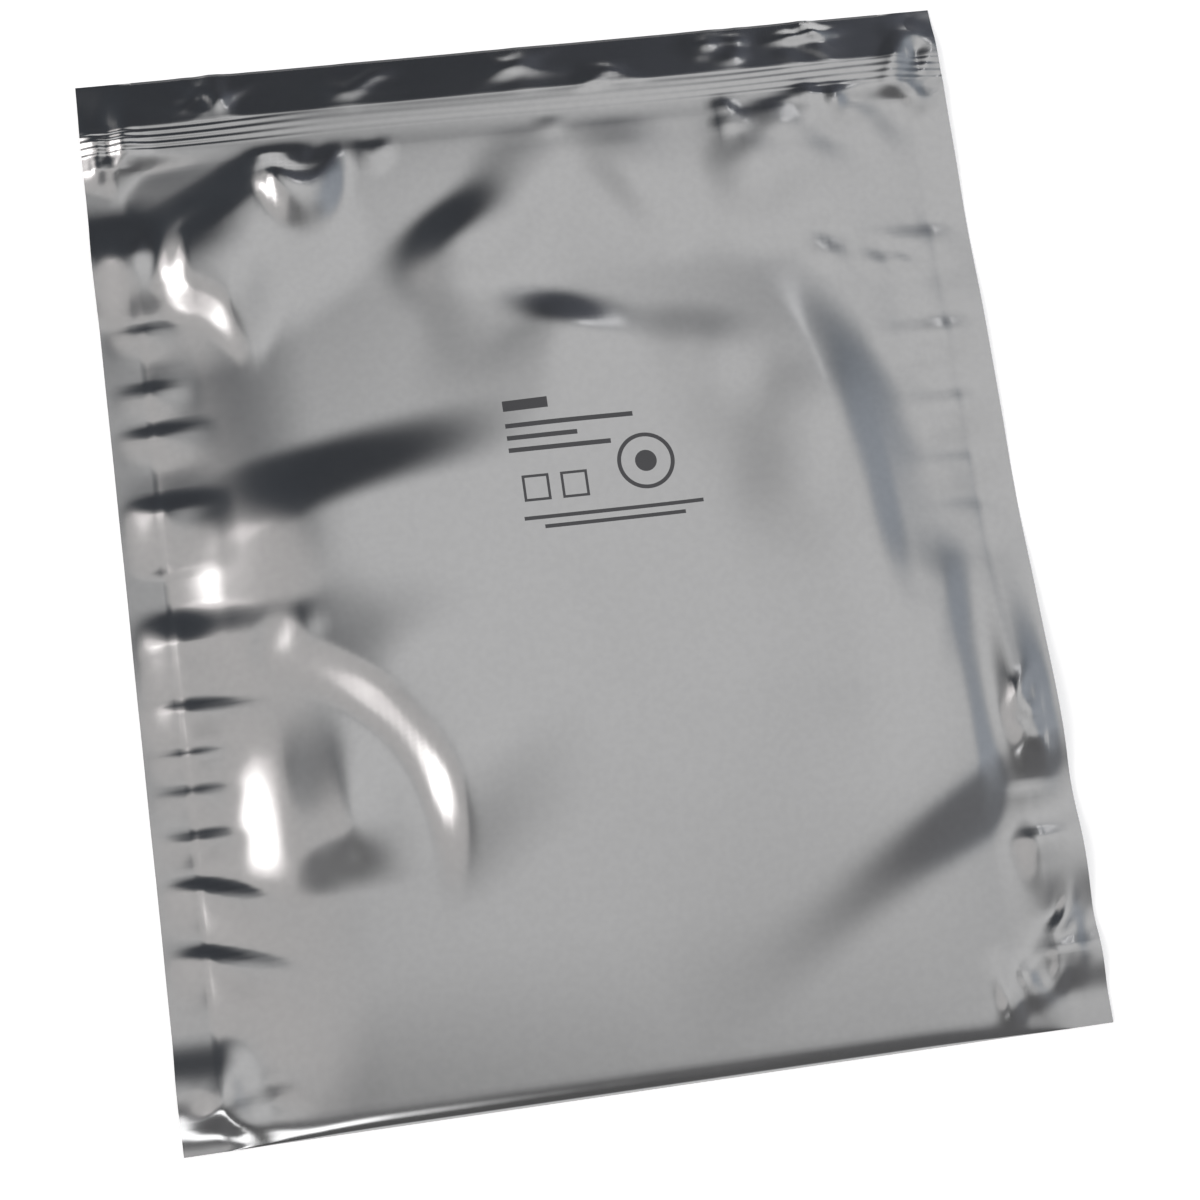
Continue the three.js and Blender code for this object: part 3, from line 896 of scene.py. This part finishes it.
@dataclass(frozen=True)
class Studio:
    """The light around the bag: a pale ceiling, darker walls, a pale horizon and four soft lamps.

    wall has the walls' colour by azimuth in degrees. The ceiling goes over into the walls between wall_from
    and wall_full degrees from ceiling_towards.
    """

    wall: tuple[tuple[float, Colour], ...] = (
        (0, (0.60, 0.64, 0.70)),
        (22, (0.50, 0.54, 0.60)),
        (40, (0.28, 0.31, 0.35)),
        (60, (0.15, 0.16, 0.19)),
        (84, (0.07, 0.075, 0.085)),
        (122, (0.08, 0.09, 0.105)),
        (142, (0.86, 0.84, 0.83)),
        (222, (0.86, 0.84, 0.83)),
        (240, (0.24, 0.24, 0.25)),
        (270, (0.16, 0.16, 0.16)),
        (320, (0.24, 0.24, 0.25)),
        (340, (0.30, 0.31, 0.33)),
        (360, (0.60, 0.64, 0.70)),
    )
    ceiling: Colour = (0.84, 0.84, 0.84)
    bright_ceiling: Colour = (1.0, 1.0, 1.0)
    bright_towards: tuple[float, float, float] = (0.20, 0.37, 0.907)
    bright_reach: float = 30.0
    ceiling_towards: tuple[float, float, float] = (0.275, 0.122, 0.954)
    horizon: float = 1.0
    lamps: tuple[SoftLamp, ...] = (
        SoftLamp(182, 43, 48, 13, (1.0, 0.93, 0.92), 0.75),
        SoftLamp(180, 43, 32, 8, (1.0, 0.98, 0.96), 3.0),
        SoftLamp(258, 34, 14, 8, (1.0, 1.0, 1.0), 3.0),
        SoftLamp(60, 40, 6, 6, (1.0, 1.0, 1.0), 1.2),
    )
    wall_from: float = 13.0
    wall_full: float = 37.0
    horizon_from: float = 74.0
    horizon_full: float = 84.0

    def build(self) -> None:
        """Builds the world's light from the direction of each ray."""
        world = bpy.data.worlds.new("studio")
        bpy.context.scene.world = world
        world.use_nodes = True
        nodes = Nodes(world.node_tree)
        backdrop = next(n for n in world.node_tree.nodes if n.type == "BACKGROUND")
        away = nodes.add("ShaderNodeTexCoord").outputs["Generated"]
        apart = nodes.add("ShaderNodeSeparateXYZ")
        nodes.feed(apart.inputs[0], away)
        x, y, z = apart.outputs
        zenith = nodes.math("MULTIPLY", nodes.math("ARCCOSINE", z), 180 / math.pi)
        turn = nodes.math("MULTIPLY", nodes.math("ARCTAN2", y, x), 180 / math.pi)
        azimuth = nodes.math("MODULO", nodes.math("ADD", turn, 360.0), 360.0)

        ramp = nodes.add("ShaderNodeValToRGB")
        nodes.feed(ramp.inputs["Fac"], nodes.math("DIVIDE", azimuth, 360.0))
        stops = ramp.color_ramp.elements
        while len(stops) < len(self.wall):
            stops.new(0.5)
        for stop, (angle, colour) in zip(stops, self.wall):
            stop.position = angle / 360
            stop.color = (*colour, 1.0)
        facing = nodes.add("ShaderNodeVectorMath", operation="DOT_PRODUCT")
        nodes.feed(facing.inputs[0], away)
        facing.inputs[1].default_value = Vector(self.bright_towards).normalized()
        near = nodes.smooth_range(facing.outputs["Value"], math.cos(math.radians(self.bright_reach)), 1.0)
        light = nodes.blend(near, self.ceiling, self.bright_ceiling)
        slant = nodes.add("ShaderNodeVectorMath", operation="DOT_PRODUCT")
        nodes.feed(slant.inputs[0], away)
        slant.inputs[1].default_value = Vector(self.ceiling_towards).normalized()
        lean = nodes.math("MULTIPLY", nodes.math("ARCCOSINE", slant.outputs["Value"]), 180 / math.pi)
        walled = nodes.smooth_range(lean, self.wall_from, self.wall_full)
        light = nodes.blend(walled, light, ramp.outputs["Color"])
        pale = (self.horizon, self.horizon, self.horizon)
        light = nodes.blend(nodes.smooth_range(zenith, self.horizon_from, self.horizon_full), light, pale)
        for lamp in self.lamps:
            light = self._with_lamp(nodes, light, azimuth, zenith, lamp)
        nodes.feed(backdrop.inputs["Color"], light)

    def _with_lamp(
        self, nodes: Nodes, light: object, azimuth: object, zenith: object, lamp: SoftLamp
    ) -> bpy.types.NodeSocket:
        """Returns the light with one lamp's patch added."""
        turned = nodes.math("ABSOLUTE", nodes.math("SUBTRACT", azimuth, lamp.azimuth))
        raised = nodes.math("ABSOLUTE", nodes.math("SUBTRACT", zenith, lamp.zenith))
        mask = nodes.math(
            "MULTIPLY",
            nodes.smooth_range(turned, lamp.half_azimuth, lamp.half_azimuth - lamp.soft_azimuth),
            nodes.smooth_range(raised, lamp.half_zenith, lamp.half_zenith - lamp.soft_zenith),
        )
        glow = nodes.add("ShaderNodeVectorMath", operation="SCALE")
        nodes.feed(glow.inputs[0], tuple(part * lamp.strength for part in lamp.colour))
        nodes.feed(glow.inputs["Scale"], mask)
        added = nodes.add("ShaderNodeVectorMath", operation="ADD")
        nodes.feed(added.inputs[0], light)
        nodes.feed(added.inputs[1], glow.outputs[0])
        return added.outputs[0]


@dataclass(frozen=True)
class Table:
    """The plain pale table under the bag, which renders white and keeps the bag's shadow."""

    half_side: float = 6.0
    drop: float = 0.0001
    colour: Colour = (0.8, 0.8, 0.8)
    roughness: float = 0.9
    glow: float = 0.5

    def build(self) -> bpy.types.Object:
        """Builds the table top as a stage piece and returns it."""
        bm = bmesh.new()
        bmesh.ops.create_grid(bm, x_segments=1, y_segments=1, size=self.half_side)
        bmesh.ops.translate(bm, verts=list(bm.verts), vec=(0, 0, -self.drop))
        mesh = bpy.data.meshes.new("table_top")
        bm.to_mesh(mesh)
        bm.free()
        table = bpy.data.objects.new("table_top", mesh)
        bpy.context.scene.collection.objects.link(table)
        table.data.materials.append(self._material())
        return table

    def _material(self) -> bpy.types.Material:
        """Builds the table's material and returns it."""
        material, nodes, shader = fresh_material("table_white")
        shader.inputs["Base Color"].default_value = (*self.colour, 1.0)
        shader.inputs["Roughness"].default_value = self.roughness
        shader.inputs["Specular IOR Level"].default_value = 0.0
        path = nodes.add("ShaderNodeLightPath")
        seen = nodes.math("ADD", path.outputs["Is Camera Ray"], path.outputs["Is Glossy Ray"])
        seen = nodes.math("ADD", seen, path.outputs["Is Transmission Ray"], clamp=True)
        shader.inputs["Emission Color"].default_value = (1, 1, 1, 1)
        nodes.feed(shader.inputs["Emission Strength"], nodes.math("MULTIPLY", seen, self.glow))
        return material


@dataclass(frozen=True)
class Viewpoint:
    """The camera at the photograph's viewing angle. Places are in millimetres in the bag's frame."""

    place: tuple[float, float, float] = (-77.1, -155.2, 678.8)
    forward: tuple[float, float, float] = (0.1152, 0.1967, -0.9737)
    rightward: tuple[float, float, float] = (0.9862, -0.1398, 0.0884)
    focal_pixels: float = 2266.4
    sensor: float = 36.0

    def build(self) -> None:
        """Builds the camera and makes it the scene's own."""
        data = bpy.data.cameras.new("photo_view")
        data.sensor_width = self.sensor
        data.lens = self.focal_pixels / IMAGE_SIDE * self.sensor
        camera = bpy.data.objects.new("photo_view", data)
        bpy.context.scene.collection.objects.link(camera)
        back = -Vector(self.forward).normalized()
        right = Vector(self.rightward).normalized()
        up = back.cross(right).normalized()
        right = up.cross(back).normalized()
        turn = Matrix((right, up, back)).transposed().to_4x4()
        camera.matrix_world = Matrix.Translation(Vector(self.place) * MM) @ turn
        bpy.context.scene.camera = camera


def main() -> None:
    """Builds the camera, the bag, its finishes and the studio around it."""
    logging.basicConfig(level=logging.INFO, format="%(name)s: %(message)s")
    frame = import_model()
    Viewpoint().build()

    low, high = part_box("film_bag")
    outline = Outline(width=(high.x - low.x) / MM, length=(high.y - low.y) / MM)
    skin = FilmBag(outline).build()
    skin.data.materials.append(MetallisedFilm(outline).material())
    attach(skin, "root")
    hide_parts("film_bag")
    log.info("film_bag_skin: %d faces", len(skin.data.polygons))

    plastic = ZipPlastic().material()
    for name in ("zip_groove_strip", "zip_rib_strip"):
        strip = frame["nodes"][name]
        strip.data.materials.clear()
        strip.data.materials.append(plastic)
        log.info("%s: %s", name, plastic.name)

    Table().build()
    Studio().build()
    bpy.context.scene.view_settings.view_transform = "Standard"


if __name__ == "__main__":
    main()
